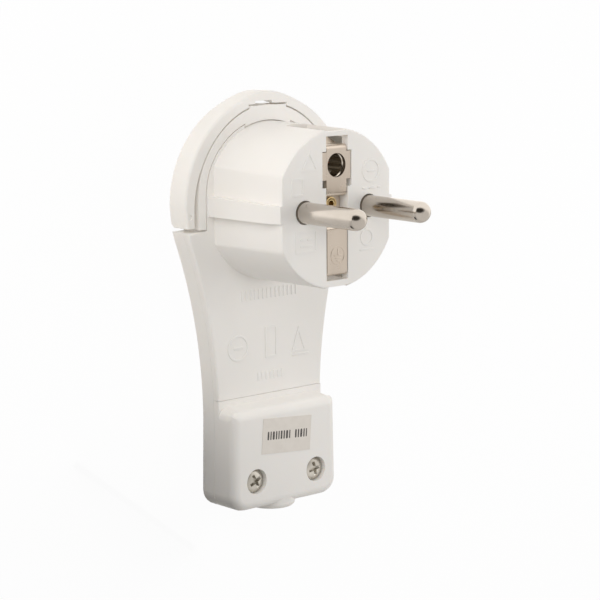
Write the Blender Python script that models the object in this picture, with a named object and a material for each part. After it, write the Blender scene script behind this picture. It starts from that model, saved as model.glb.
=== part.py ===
"""Flat earthed mains plug with a fold-out pull handle, in metres, lying on its flat back.

The origin is on the back face, under the axis of the round body. X runs across the two pins,
+Y runs to the handle and +Z is the way the pins point.
"""
import math

import bmesh
import bpy
from mathutils import Matrix, Vector

MM = 0.001
NEAR = 0.001 * MM

# Clearances and walls
GAP = 0.25 * MM
WALL = 1.6 * MM
FLOOR = 1.5 * MM
FACE_WALL = 2.0 * MM
PLATE_WALL = 1.6 * MM

# Contact pins
PIN_RADIUS = 2.4 * MM
PIN_SPACING = 19.0 * MM
PIN_REACH = 19.0 * MM
PIN_COLLAR_RADIUS = 3.6 * MM
PIN_COLLAR_HEIGHT = 1.8 * MM
PIN_BARREL_RADIUS = 3.1 * MM
PIN_BARREL_HEIGHT = 11.3 * MM
PIN_CHAMFER = 0.25 * MM
PIN_RECESS = 0.3 * MM
WIRE_HOLE_RADIUS = 1.6 * MM
WIRE_HOLE_DEPTH = 6.5 * MM
TERMINAL_SCREW_RISE = 4.8 * MM

# Outline of the flat base, seen from the pins
SHOULDER_RADIUS = 24.4 * MM
LEDGE_Y = -5.6 * MM
STEM_HALF = 15.6 * MM
BLOCK_HALF = 15.95 * MM
WAIST_Y = -50.0 * MM
SEAM_Y = -45.2 * MM
BOTTOM_Y = -70.9 * MM
CORNER_RADIUS = 4.0 * MM
BASE_DEPTH = 6.2 * MM
PARTING_Z = 4.5 * MM
BACK_EDGE = 0.7 * MM
FRONT_EDGE = 0.6 * MM

# Ring round the foot of the body
RING_RADIUS = 20.95 * MM
RING_INNER = 19.25 * MM
RING_INNER_EASE = 0.8 * MM
RING_CROWN = 1.05 * MM
RING_CROWN_HALF = 27.0 * MM
KEY_HALF = 6.7 * MM
KEY_STEP = 0.72 * MM
RING_END_GAP = 0.4 * MM
RING_EASE = 0.45 * MM
EASE_RISE = 14.0 * MM

# Round body
BODY_HEIGHT = 23.6 * MM
FACE_RADIUS = 17.95 * MM
FOOT_RADIUS = 18.3 * MM
FLAT_HALF = 16.15 * MM
BODY_WALL = 1.75 * MM
FACE_EDGE = 0.6 * MM
RIB_HALF = 2.3 * MM
RIB_REACH = 1.7 * MM
RIB_END_REACH = 0.45 * MM
RIB_END = 3.2 * MM
RIB_TAPER = 0.15

# Earth channel in the face
CHANNEL_HALF = 3.25 * MM
CHANNEL_DEPTH = 2.05 * MM
LOW_LIP = 1.4 * MM
HIGH_LIP = 1.0 * MM
CHANNEL_DEEP = 4.6 * MM
CHANNEL_DEEP_Y = -4.9 * MM
LIP_HEIGHT = 1.5 * MM
RECESS_HALF = 4.35 * MM
RECESS_LOW = 4.9 * MM
RECESS_HIGH = 13.0 * MM
RECESS_DEPTH = 2.5 * MM
WINDOW_HEIGHT = 12.3 * MM
GROOVE_DEPTH = 0.6 * MM

# Earth contacts
STRIP_HALF = 2.95 * MM
STRIP_THICK = 0.8 * MM
STRIP_BELOW_FACE = 0.05 * MM
PLATE_BELOW_FACE = 0.2 * MM
STEP_BELOW_FACE = 2.5 * MM
PLATE_STEP_Y = 3.2 * MM
STRIP_STEP_Y = -4.1 * MM
WING_LOW = 6.6 * MM
WING_EDGE_GAP = 0.2 * MM
WING_THIN = 0.02 * MM
BEND_RADIUS = 0.6 * MM
SPRING_CROWN = 16.6 * MM
PLATE_ROOT = 14.0 * MM
STRIP_ROOT = 14.6 * MM
SPRING_END = 13.7 * MM
SPRING_DROP = 9.3 * MM
SPRING_LENGTH = 14.3 * MM
EARTH_HOLE_Y = 9.8 * MM
EARTH_HOLE_RADIUS = 2.7 * MM
SLEEVE_WALL = 0.45 * MM
SLEEVE_LENGTH = 10.5 * MM
SLEEVE_SLIT = 0.7 * MM
SLEEVE_SLIT_LENGTH = 7.0 * MM
RIVET_Y = 1.0 * MM
RIVET_HOLE = 0.75 * MM
RIVET_RADIUS = 1.2 * MM
RIVET_HEAD = 1.5 * MM
RIVET_HEAD_THICK = 0.4 * MM

# Earth terminal
TERMINAL_HALF = 2.8 * MM
TERMINAL_HIGH_Y = -2.0 * MM
TERMINAL_LENGTH = 5.6 * MM
TERMINAL_HEIGHT = 6.4 * MM
TERMINAL_TAB = 0.8 * MM
TERMINAL_WIRE_RADIUS = 1.4 * MM

# Contact retainer and its bosses
RETAINER_THICK = 1.6 * MM
RETAINER_HALF_Y = 12.2 * MM
RETAINER_CUP = 2.2 * MM
CUP_WALL = 1.0 * MM
BOSS_OFFSET = 9.8 * MM
BOSS_RADIUS = 2.3 * MM
BOSS_HOLE_DEPTH = 6.5 * MM

# Pull handle
PIVOT_Y = -2.1 * MM
PIVOT_Z = 3.1 * MM
TRUNNION_RADIUS = 1.3 * MM
TRUNNION_CLEARANCE = 0.2 * MM
HANDLE_DEPTH = 6.2 * MM
HANDLE_THICK = 3.0 * MM
HANDLE_GAP = 0.4 * MM
HANDLE_EASE = 0.45 * MM
HANDLE_CROWN = 0.8 * MM
HANDLE_CROWN_HALF = 11.0 * MM
HANDLE_END = 2.6 * MM
HANDLE_END_RADIUS = 3.1 * MM
HANDLE_EDGE = 0.7 * MM
RELIEF_HALF = 5.7 * MM
RELIEF_RISE = 1.3 * MM
NOTCH_LEFT = -3.8 * MM
NOTCH_RIGHT_FRONT = 1.2 * MM
NOTCH_RIGHT_BACK = 4.0 * MM
NOTCH_RISE = 2.0 * MM
DIMPLE_RADIUS = 0.6 * MM
DIMPLE_DEPTH = 0.3 * MM
DIMPLE_EDGE = 1.35 * MM

# Cable cover
COVER_FRONT = 11.8 * MM
COVER_LIP = 1.0 * MM
COVER_CORNER = 2.8 * MM
COVER_SLOPE = 0.9 * MM
COVER_EDGE = 2.2 * MM
SPOUT_REACH = 1.3 * MM
SPOUT_EDGE = 1.2 * MM
SPOUT_INSET = 0.1 * MM
CABLE_RADIUS = 4.2 * MM
CORE_PASSAGE = 11.5 * MM

# Screws
COVER_SCREW_SHARE = 0.58
COVER_SCREW_RISE = 6.73 * MM
COVER_SCREW_SUNK = 0.6 * MM
COVER_HEAD_RADIUS = 2.7 * MM
COVER_HEAD_HEIGHT = 1.3 * MM
COVER_SHANK_RADIUS = 1.25 * MM
COVER_SCREW_LENGTH = 7.0 * MM
POST_WALL = 1.5 * MM
POST_TOP = 4.6 * MM
SMALL_HEAD_RADIUS = 1.9 * MM
SMALL_HEAD_HEIGHT = 1.2 * MM
SMALL_SHANK_RADIUS = 0.95 * MM
SLOT_SHARE = 0.16
SLOT_FLOOR = 0.35
SLOT_TURN = math.radians(25)
CROSS_REACH = 0.62

# Cable clamp
CLAMP_SCREW_X = 6.7 * MM
CLAMP_Y = -56.5 * MM
CLAMP_POST_TOP = 5.9 * MM
CLAMP_BAR_THICK = 1.4 * MM
CLAMP_BAR_HALF = 8.9 * MM
CLAMP_BAR_WIDTH = 4.4 * MM
CLAMP_ARCH_HALF = 3.3 * MM
CLAMP_ARCH = 1.1 * MM
GRIP_THICK = 0.75 * MM
GRIP_RISE = 0.55 * MM
CORE_GUIDE_X = 3.9 * MM
CORE_GUIDE_THICK = 1.0 * MM
CORE_GUIDE_TOP_Y = -22.6 * MM

# Fineness of round stretches
BODY_STEPS = 72
FLANK_STEPS = 20
ROD_STEPS = 28
SCREW_STEPS = 16

SIDES = (("left", -1), ("right", 1))

# Places that follow from the sizes
HANDLE_OUTER = RING_RADIUS + HANDLE_GAP + HANDLE_THICK
COVER_SCREW_X = COVER_SCREW_SHARE * STEM_HALF
COVER_SCREW_Y = BOTTOM_Y + COVER_SCREW_RISE
FACE_Z = BASE_DEPTH + BODY_HEIGHT
FACE_UNDER = FACE_Z - FACE_WALL
PIN_COLLAR_TOP = FACE_UNDER - GAP
PIN_BARREL_TOP = PIN_COLLAR_TOP - PIN_COLLAR_HEIGHT
PIN_BACK = PIN_BARREL_TOP - PIN_BARREL_HEIGHT
RETAINER_TOP = PIN_BACK - GAP
RETAINER_BACK = RETAINER_TOP - RETAINER_THICK
TROUGH_HALF = PIN_SPACING / 2 - PIN_COLLAR_RADIUS - GAP
TROUGH_FLOOR = FACE_Z - CHANNEL_DEEP
TROUGH_UNDER = TROUGH_FLOOR - FLOOR
SOCKET_PLATE_Z = FACE_Z - PLATE_BELOW_FACE - STRIP_THICK / 2
STEP_Z = FACE_Z - STEP_BELOW_FACE - STRIP_THICK / 2
STRIP_LOW_Z = STEP_Z - STRIP_THICK - GAP
STRIP_Z = FACE_Z - STRIP_BELOW_FACE - STRIP_THICK / 2
TAB_TOP = TROUGH_UNDER - GAP
COVER_HEAD_UNDER = COVER_FRONT - COVER_SCREW_SUNK - COVER_HEAD_HEIGHT
COVER_WELL = COVER_HEAD_RADIUS + GAP
SPOUT_RADIUS = COVER_FRONT / 2 - SPOUT_INSET
CABLE_Z = COVER_FRONT / 2


def arc(x, y, radius, start, end, steps):
    """Points on a circle from one angle to the other, in degrees, both ends included."""
    turns = [math.radians(start + (end - start) * i / steps) for i in range(steps + 1)]
    return [(x + radius * math.cos(turn), y + radius * math.sin(turn)) for turn in turns]


def mirrored(right_side):
    """A closed outline from its right half, given from top to bottom."""
    return right_side + [(-x, y) for x, y in reversed(right_side) if x > NEAR]


def rectangle(left, right, low, high):
    return [(left, low), (right, low), (right, high), (left, high)]


def prism(outline, low, high, axis="Z"):
    """A closed solid: an outline in the plane across the axis, drawn out from low to high."""
    order = {"X": (2, 0, 1), "Y": (0, 2, 1), "Z": (0, 1, 2)}[axis]

    def place(*along):
        return [along[i] for i in order]

    bm = bmesh.new()
    foot = bm.faces.new([bm.verts.new(place(u, v, low)) for u, v in outline])
    grown = bmesh.ops.extrude_face_region(bm, geom=[foot])["geom"]
    step = Vector(place(0, 0, high - low))
    bmesh.ops.translate(bm, vec=step, verts=[v for v in grown if isinstance(v, bmesh.types.BMVert)])
    bmesh.ops.recalc_face_normals(bm, faces=bm.faces)
    return bm


def layered(layers):
    """A closed solid through outlines with the same count of points, each at its own height."""
    bm = bmesh.new()
    rings = [[bm.verts.new((x, y, z)) for x, y in outline] for outline, z in layers]
    for low, high in zip(rings, rings[1:]):
        for i in range(len(low)):
            bm.faces.new((low[i - 1], low[i], high[i], high[i - 1]))
    bm.faces.new(rings[0])
    bm.faces.new(rings[-1])
    bmesh.ops.recalc_face_normals(bm, faces=bm.faces)
    return bm


def lathe(profile, centre, axis="Z", steps=ROD_STEPS):
    """A solid turned from (radius, height) points; it stands on centre and runs along the axis."""
    bm = bmesh.new()
    points = [bm.verts.new((radius, 0, height)) for radius, height in profile]
    edges = [bm.edges.new(pair) for pair in zip(points, points[1:])]
    bmesh.ops.spin(bm, geom=points + edges, axis=(0, 0, 1), cent=(0, 0, 0), angle=2 * math.pi,
                   steps=steps, use_merge=True)
    bmesh.ops.remove_doubles(bm, verts=bm.verts, dist=NEAR)
    bmesh.ops.holes_fill(bm, edges=[e for e in bm.edges if e.is_boundary])
    bmesh.ops.recalc_face_normals(bm, faces=bm.faces)
    half_step = Matrix.Rotation(math.pi / steps, 4, "Z")
    bmesh.ops.transform(bm, matrix=Matrix.Translation(centre) @ facing(axis) @ half_step, verts=bm.verts)
    return bm


def facing(axis):
    """The rotation that turns +Z to the named direction."""
    directions = {"X": (1, 0, 0), "-X": (-1, 0, 0), "Y": (0, 1, 0), "Z": (0, 0, 1), "-Z": (0, 0, -1)}
    return Vector((0, 0, 1)).rotation_difference(Vector(directions[axis])).to_matrix().to_4x4()


def rod(radius, length, centre, axis="Z", steps=ROD_STEPS):
    return lathe([(radius, 0), (radius, length)], centre, axis, steps)


def thin_rod(radius, length, centre, axis="Z"):
    return rod(radius, length, centre, axis, SCREW_STEPS)


def outward(side):
    """The direction away from the middle plane, on this side."""
    return "X" if side > 0 else "-X"


def edges_at(bm, axis, place):
    """Edges that lie wholly in the plane where the coordinate has this value."""
    return [e for e in bm.edges if all(abs(v.co[axis] - place) < NEAR for v in e.verts)]


def round_edges(bm, edges, radius, segments=3):
    bmesh.ops.bevel(bm, geom=edges, offset=radius, offset_type="OFFSET", segments=segments,
                    profile=0.5, affect="EDGES", clamp_overlap=True, material=-1)


def make(name, bm, finish):
    """A named object with its own material, its origin at the model's origin."""
    mesh = bpy.data.meshes.new(name)
    bm.to_mesh(mesh)
    bm.free()
    mesh.shade_smooth()
    mesh.set_sharp_from_angle(angle=math.radians(35))
    mesh.materials.append(material(name, *finish))
    part = bpy.data.objects.new(name, mesh)
    bpy.context.scene.collection.objects.link(part)
    return part


def material(name, colour, roughness, metallic):
    made = bpy.data.materials.new(name)
    made.use_nodes = True
    shader = made.node_tree.nodes["Principled BSDF"]
    shader.inputs["Base Color"].default_value = (*colour, 1)
    shader.inputs["Roughness"].default_value = roughness
    shader.inputs["Metallic"].default_value = metallic
    return made


def combine(part, label, bm, operation):
    """Adds a shape to the part, or cuts it away, with a live Boolean."""
    mesh = bpy.data.meshes.new(label)
    bm.to_mesh(mesh)
    bm.free()
    helper = bpy.data.objects.new(part.name + "_" + label, mesh)
    bpy.context.scene.collection.objects.link(helper)
    helper.parent = part
    helper.hide_render = True
    helper.display_type = "WIRE"
    modifier = part.modifiers.new(label, "BOOLEAN")
    modifier.operation = operation
    modifier.object = helper


def add(part, label, bm):
    combine(part, label, bm, "UNION")


def cut(part, label, bm):
    combine(part, label, bm, "DIFFERENCE")


WHITE = ((0.86, 0.85, 0.83), 0.32, 0.0)
INNER_WHITE = ((0.80, 0.79, 0.77), 0.45, 0.0)
NICKEL = ((0.66, 0.62, 0.57), 0.24, 1.0)
BRASS = ((0.78, 0.60, 0.32), 0.30, 1.0)
STEEL = ((0.62, 0.62, 0.62), 0.30, 1.0)


def waist_arc():
    """Centre x and radius of the hollow arc between the shoulder and the stem."""
    rise = STEM_HALF ** 2 + WAIST_Y ** 2 - SHOULDER_RADIUS ** 2
    radius = rise / (2 * (SHOULDER_RADIUS - STEM_HALF))
    return STEM_HALF + radius, radius


def flank(inset, top, bottom):
    """Right side of the base from the ledge down the shoulder and the waist, set in by inset."""
    low = max(bottom, WAIST_Y)
    heights = [top + (low - top) * i / FLANK_STEPS for i in range(FLANK_STEPS + 1)]
    return [(flank_x(inset, y), y) for y in heights]


def flank_x(inset, y):
    """The side's distance from the middle: the round shoulder first, then the hollow waist."""
    centre, radius = waist_arc()
    shoulder = SHOULDER_RADIUS - inset
    if y > shoulder * WAIST_Y / math.hypot(centre, WAIST_Y):
        return math.sqrt(shoulder ** 2 - y ** 2)
    return centre - math.sqrt((radius + inset) ** 2 - (y - WAIST_Y) ** 2)


def block_foot(inset):
    """Right bottom corner of the block, from its side to its underside."""
    x = BLOCK_HALF - CORNER_RADIUS
    return arc(x, BOTTOM_Y + CORNER_RADIUS, CORNER_RADIUS - inset, 0, -90, 6)


def crowned(radius, rise, half):
    """Points on the upper half of a circle, from right to left, raised towards the top by a crown."""
    return [(x, y + 0.5 * rise * (1 + math.cos(math.pi * min(abs(x) / half, 1))))
            for x, y in arc(0, 0, radius, 0, 180, BODY_STEPS // 2)]


def ring_side(grown, end, ease=-RING_EASE):
    """Right half of the ring's outline from the top, grown by a clearance and eased towards its end."""
    radius = RING_RADIUS + grown
    right = crowned(radius, RING_CROWN, RING_CROWN_HALF)[:BODY_STEPS // 4 + 1]
    return [(x + ease * eased(y), y) for x, y in right[::-1] + [(radius, end)]]


def eased(y):
    """Share of the ease at this height: all of it at the pivot and none above its rise."""
    return 0.5 * (1 + math.cos(math.pi * min(max(y - PIVOT_Y, 0) / EASE_RISE, 1)))


def keyed_side(radius, key_half):
    """Right half of a circle from the top, stepped in over the key."""
    edge = math.degrees(math.acos(key_half / radius))
    crown = math.degrees(math.acos(key_half / (radius - KEY_STEP)))
    side = arc(0, 0, radius, edge, 0, BODY_STEPS // 6)
    return arc(0, 0, radius - KEY_STEP, 90, crown, 4) + [(x - RING_INNER_EASE * eased(y), y) for x, y in side]


def base_outline(inset):
    """Outline of the whole base: ring, shoulders, stem and block."""
    ledge = LEDGE_Y - inset
    return mirrored(ring_side(-inset, ledge) + flank(inset, ledge, WAIST_Y) + block_foot(inset))


def rear_cover():
    """Back tray: stem and block floor, and the ring that stands round the foot of the body."""
    wall_top = PARTING_Z - GAP / 2
    turns = [math.radians(30 * i) for i in range(4)]
    back = [(base_outline(BACK_EDGE * (1 - math.sin(t))), BACK_EDGE * (1 - math.cos(t))) for t in turns]
    part = make("rear_cover", layered(back + [(base_outline(0), BASE_DEPTH)]), WHITE)
    below_ring = rectangle(-2 * STEM_HALF, 2 * STEM_HALF, 2 * BOTTOM_Y, LEDGE_Y + RING_END_GAP)
    cut(part, "below_ring", prism(below_ring, wall_top, BASE_DEPTH + WALL))
    rise_half = RELIEF_HALF - GAP
    rise = rectangle(-rise_half, rise_half, RING_INNER, RING_RADIUS + RELIEF_RISE - HANDLE_GAP)
    add(part, "ring_rise", prism(rise, BACK_EDGE, BASE_DEPTH))
    add(part, "spout", spout())
    cut(part, "spout_trim", spout_trim(wall_top, COVER_FRONT + WALL))
    hollow = mirrored(flank(WALL, LEDGE_Y - WALL, WAIST_Y) + block_foot(WALL))
    cut(part, "tray", prism(hollow, FLOOR, BASE_DEPTH + WALL))
    well = mirrored(keyed_side(RING_INNER, KEY_HALF) + [(RING_INNER - RING_INNER_EASE, LEDGE_Y - 2 * WALL)])
    cut(part, "well", prism(well, FLOOR, BASE_DEPTH + WALL))
    cut(part, "cable_bore", cable_bore())
    for label, side in SIDES:
        place = (side * (RING_INNER - RING_INNER_EASE - WALL / 2), PIVOT_Y, PIVOT_Z)
        reach = RING_RADIUS - RING_INNER + RING_INNER_EASE + WALL
        hole = thin_rod(TRUNNION_RADIUS + TRUNNION_CLEARANCE, reach, place, outward(side))
        cut(part, "pivot_" + label, hole)
        post(part, "cover_post_" + label, side * COVER_SCREW_X, COVER_SCREW_Y, POST_TOP, COVER_SHANK_RADIUS)
        post(part, "clamp_post_" + label, side * CLAMP_SCREW_X, CLAMP_Y, CLAMP_POST_TOP, SMALL_SHANK_RADIUS)
        guide_end = side * (CORE_GUIDE_X + CORE_GUIDE_THICK)
        guide = rectangle(*sorted((side * CORE_GUIDE_X, guide_end)), SEAM_Y, CORE_GUIDE_TOP_Y)
        add(part, "core_guide_" + label, prism(guide, FLOOR / 2, wall_top - 2 * GAP))
    for label, offset in (("low", -CLAMP_BAR_WIDTH / 4), ("high", CLAMP_BAR_WIDTH / 4)):
        low = CLAMP_Y + offset - GRIP_THICK / 2
        grip = rectangle(-CLAMP_ARCH_HALF, CLAMP_ARCH_HALF, low, low + GRIP_THICK)
        add(part, "grip_" + label, prism(grip, FLOOR / 2, FLOOR + GRIP_RISE))
    return part


def post(part, label, x, y, top, shank):
    """A screw post on the floor of the tray, with its pilot hole."""
    pilot = shank + GAP
    add(part, label, thin_rod(pilot + POST_WALL, top - FLOOR / 2, (x, y, FLOOR / 2)))
    cut(part, label + "_hole", thin_rod(pilot, top, (x, y, FLOOR)))


def spout():
    """The round nose that the cable leaves through; each cover keeps its own half."""
    top = BOTTOM_Y + CORNER_RADIUS
    end = BOTTOM_Y - SPOUT_REACH
    turn = arc(SPOUT_RADIUS - SPOUT_EDGE, SPOUT_EDGE, SPOUT_EDGE, -90, 0, 3)
    return lathe(turn + [(SPOUT_RADIUS, top - end)], (0, end, CABLE_Z), "Y", ROD_STEPS)


def spout_trim(low, high):
    """What is cut off the spout's other half."""
    reach = SPOUT_RADIUS + WALL
    trim = rectangle(-reach, reach, BOTTOM_Y - SPOUT_REACH - WALL, BOTTOM_Y + CORNER_RADIUS + WALL)
    return prism(trim, low, high)


def cable_bore():
    start = BOTTOM_Y - 2 * SPOUT_REACH
    return rod(CABLE_RADIUS, BOTTOM_Y + 2 * CORNER_RADIUS - start, (0, start, CABLE_Z), "Y", ROD_STEPS)


def front_housing():
    """Front moulding: round pin body and the plate that covers the stem, hollow from behind."""
    low = PARTING_Z + GAP / 2
    disc = RING_INNER - GAP
    upper = keyed_side(disc, KEY_HALF + GAP) + [(disc - RING_INNER_EASE, LEDGE_Y)]
    plate = prism(mirrored(upper + flank(0, LEDGE_Y, SEAM_Y)), low, BASE_DEPTH)
    front_rim = [e for e in edges_at(plate, 2, BASE_DEPTH) if on_flank(e)]
    round_edges(plate, front_rim, FRONT_EDGE, 3)
    part = make("front_housing", plate, WHITE)
    body = round_body(FOOT_RADIUS, FACE_RADIUS, FLAT_HALF, low + PLATE_WALL / 2, FACE_Z)
    round_edges(body, edges_at(body, 2, FACE_Z), FACE_EDGE, 2)
    add(part, "body", body)
    for label, side in SIDES:
        add(part, "rib_" + label, side_rib(side))
    lip_in = WALL + GAP
    lip = mirrored(flank(lip_in, LEDGE_Y - lip_in, SEAM_Y))
    add(part, "lip", prism(lip, PARTING_Z - WALL / 2, BASE_DEPTH - PLATE_WALL / 2))
    pocket_in = lip_in + WALL / 2
    pocket = mirrored(flank(pocket_in, LEDGE_Y - pocket_in, SEAM_Y - WALL))
    cut(part, "pocket", prism(pocket, 0, BASE_DEPTH - PLATE_WALL))
    inner_foot, inner_face = FOOT_RADIUS - BODY_WALL, FACE_RADIUS - BODY_WALL
    cut(part, "cavity", round_body(inner_foot, inner_face, FLAT_HALF - BODY_WALL, 0, FACE_UNDER))
    trough_end = PLATE_ROOT - STRIP_THICK / 2 - 2 * GAP
    trough = rectangle(-TROUGH_HALF, TROUGH_HALF, -trough_end, trough_end)
    add(part, "trough", prism(trough, TROUGH_UNDER, FACE_UNDER + FACE_WALL / 2))
    for label, side in SIDES:
        offset = side * BOSS_OFFSET
        boss_height = FACE_UNDER + FACE_WALL / 2 - PIN_BACK
        add(part, "boss_" + label, thin_rod(BOSS_RADIUS, boss_height, (offset, offset, PIN_BACK)))
        pilot = thin_rod(SMALL_SHANK_RADIUS + GAP, BOSS_HOLE_DEPTH, (offset, offset, PIN_BACK - GAP))
        cut(part, "boss_hole_" + label, pilot)
        pin_place = (side * PIN_SPACING / 2, 0, FACE_UNDER - FACE_WALL)
        cut(part, "pin_hole_" + label, rod(PIN_RADIUS + PIN_RECESS, 3 * FACE_WALL, pin_place))
    for label, side in (("low", -1), ("high", 1)):
        cut(part, "window_" + label, side_window(side))
        cut(part, "groove_" + label, side_groove(side))
    cut_channel(part)
    return part


def on_flank(edge):
    """Whether an edge of the stem's plate runs along the ledge, the shoulder or the waist."""
    heights = [v.co.y for v in edge.verts]
    return max(heights) < LEDGE_Y + NEAR and max(heights) > SEAM_Y + NEAR


def round_body(foot, top, flat, low, high):
    """A drafted round plug body with a flat on each side."""
    slope = (foot - top) / BODY_HEIGHT
    start = foot - slope * (low - BASE_DEPTH)
    end = foot - slope * (high - BASE_DEPTH)
    bm = bmesh.new()
    middle = Matrix.Translation((0, 0, (low + high) / 2))
    bmesh.ops.create_cone(bm, cap_ends=True, segments=BODY_STEPS, radius1=start, radius2=end,
                          depth=high - low, matrix=middle)
    for side in (-1, 1):
        whole = bm.verts[:] + bm.edges[:] + bm.faces[:]
        sliced = bmesh.ops.bisect_plane(bm, geom=whole, dist=NEAR / 10, plane_co=(side * flat, 0, 0),
                                        plane_no=(side, 0, 0), clear_outer=True)
        bmesh.ops.holes_fill(bm, edges=[e for e in sliced["geom_cut"] if isinstance(e, bmesh.types.BMEdge)])
    bmesh.ops.recalc_face_normals(bm, faces=bm.faces)
    return bm


def side_rib(side):
    """The raised guide rib down a flat of the body, run in towards the face."""
    inner = FLAT_HALF - BODY_WALL / 2
    low = BASE_DEPTH - PLATE_WALL / 2
    outline = [(inner, low), (FLAT_HALF + RIB_REACH, low), (FLAT_HALF + RIB_REACH, FACE_Z - RIB_END),
               (FLAT_HALF + RIB_END_REACH, FACE_Z), (inner, FACE_Z)]
    bm = prism([(side * x, z) for x, z in outline], -RIB_HALF, RIB_HALF, "Y")
    for v in bm.verts:
        v.co.y *= 1 - RIB_TAPER * (v.co.z - low) / BODY_HEIGHT
    return bm


def side_window(side):
    """The opening in the wall where an earth spring shows, under the lip at the face."""
    high = FACE_Z - LIP_HEIGHT
    near = PLATE_ROOT - STRIP_THICK / 2 - 2 * GAP
    ends = sorted((side * near, side * (FOOT_RADIUS + BODY_WALL)))
    return prism(rectangle(-CHANNEL_HALF, CHANNEL_HALF, *ends), high - WINDOW_HEIGHT, high)


def side_groove(side):
    """The shallow groove above and below the window, for the side contact of the wall socket."""
    low = FACE_Z - LIP_HEIGHT - WINDOW_HEIGHT
    ends = sorted((side * (FACE_RADIUS - GROOVE_DEPTH), side * (FOOT_RADIUS + BODY_WALL)))
    return prism(rectangle(-CHANNEL_HALF, CHANNEL_HALF, *ends), low, FACE_Z + WALL)


def cut_channel(part):
    """The stepped channel in the face, its wide recess and the holes through its floor."""
    above = FACE_Z + WALL
    low_end = FACE_RADIUS - GROOVE_DEPTH - LOW_LIP
    high_end = FACE_RADIUS - GROOVE_DEPTH - HIGH_LIP
    shallow = rectangle(-CHANNEL_HALF, CHANNEL_HALF, -low_end, high_end)
    cut(part, "channel", prism(shallow, FACE_Z - CHANNEL_DEPTH, above))
    deep = rectangle(-CHANNEL_HALF, CHANNEL_HALF, CHANNEL_DEEP_Y, high_end)
    cut(part, "deep_channel", prism(deep, TROUGH_FLOOR, above))
    for label, side, end in (("low", -1, low_end), ("high", 1, high_end)):
        near = PLATE_ROOT - STRIP_THICK / 2 - 2 * GAP
        ends = sorted((side * near, side * end))
        slot = rectangle(-CHANNEL_HALF, CHANNEL_HALF, *ends)
        cut(part, "slot_" + label, prism(slot, TROUGH_UNDER - WALL, above))
    recess = rectangle(-RECESS_HALF, RECESS_HALF, RECESS_LOW, RECESS_HIGH)
    cut(part, "recess", prism(recess, FACE_Z - RECESS_DEPTH, above))
    sleeve_hole = EARTH_HOLE_RADIUS + SLEEVE_WALL + GAP
    cut(part, "sleeve_hole", rod(sleeve_hole, 4 * FLOOR, (0, EARTH_HOLE_Y, TROUGH_UNDER - FLOOR)))
    rivet_hole = RIVET_RADIUS + GAP
    cut(part, "rivet_hole", thin_rod(rivet_hole, 3 * FLOOR, (0, RIVET_Y, TROUGH_UNDER - FLOOR)))


def cable_cover():
    """Screwed cover over the cable clamp, with its sloping top wall, lip and half of the spout."""
    low = PARTING_Z + GAP / 2
    top = SEAM_Y - GAP
    body_top = top - COVER_LIP
    turn_y = body_top - COVER_CORNER
    corner = arc(STEM_HALF - COVER_CORNER, turn_y, COVER_CORNER, 90, 0, 5)
    bm = prism(mirrored(corner + block_foot(0)), low, COVER_FRONT)
    lean = [v for v in bm.verts if v.co.y > turn_y - NEAR and v.co.z > PARTING_Z + WALL]
    bmesh.ops.translate(bm, vec=(0, -COVER_SLOPE, 0), verts=lean)
    round_edges(bm, edges_at(bm, 2, COVER_FRONT), COVER_EDGE, 4)
    part = make("cable_cover", bm, WHITE)
    lip = rectangle(-STEM_HALF, STEM_HALF, turn_y, top)
    add(part, "lip", prism(lip, low, BASE_DEPTH))
    add(part, "spout", spout())
    cut(part, "spout_trim", spout_trim(-WALL, low))
    inner_top = body_top - WALL - COVER_SLOPE
    hollow = mirrored([(STEM_HALF - WALL, inner_top)] + block_foot(WALL))
    cut(part, "hollow", prism(hollow, 0, COVER_FRONT - WALL))
    passage = rectangle(-CORE_PASSAGE, CORE_PASSAGE, inner_top - WALL, top + WALL)
    cut(part, "core_passage", prism(passage, 0, BASE_DEPTH - PLATE_WALL))
    cut(part, "cable_bore", cable_bore())
    for label, side in SIDES:
        place = (side * COVER_SCREW_X, COVER_SCREW_Y)
        tube_low = POST_TOP + GAP
        tube = thin_rod(COVER_WELL + WALL / 2, COVER_FRONT - WALL / 2 - tube_low, (*place, tube_low))
        add(part, "boss_" + label, tube)
        cut(part, "screw_well_" + label, rod(COVER_WELL, COVER_FRONT, (*place, COVER_HEAD_UNDER - GAP)))
        cut(part, "screw_hole_" + label, thin_rod(COVER_SHANK_RADIUS + GAP, COVER_FRONT, (*place, 0)))
    return part


def handle_outline():
    """The bow: round outside, following the ring inside, with short straight arms."""
    end = PIVOT_Y - HANDLE_END
    foot = math.sqrt(HANDLE_OUTER ** 2 - end ** 2)
    outside = crowned(HANDLE_OUTER, HANDLE_CROWN, HANDLE_CROWN_HALF)
    inside = mirrored(ring_side(HANDLE_GAP, end, HANDLE_EASE))
    right_arm = BODY_STEPS // 4 + 2
    return [(foot, end)] + outside + [(-foot, end)] + inside[right_arm:] + inside[:right_arm]


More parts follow.
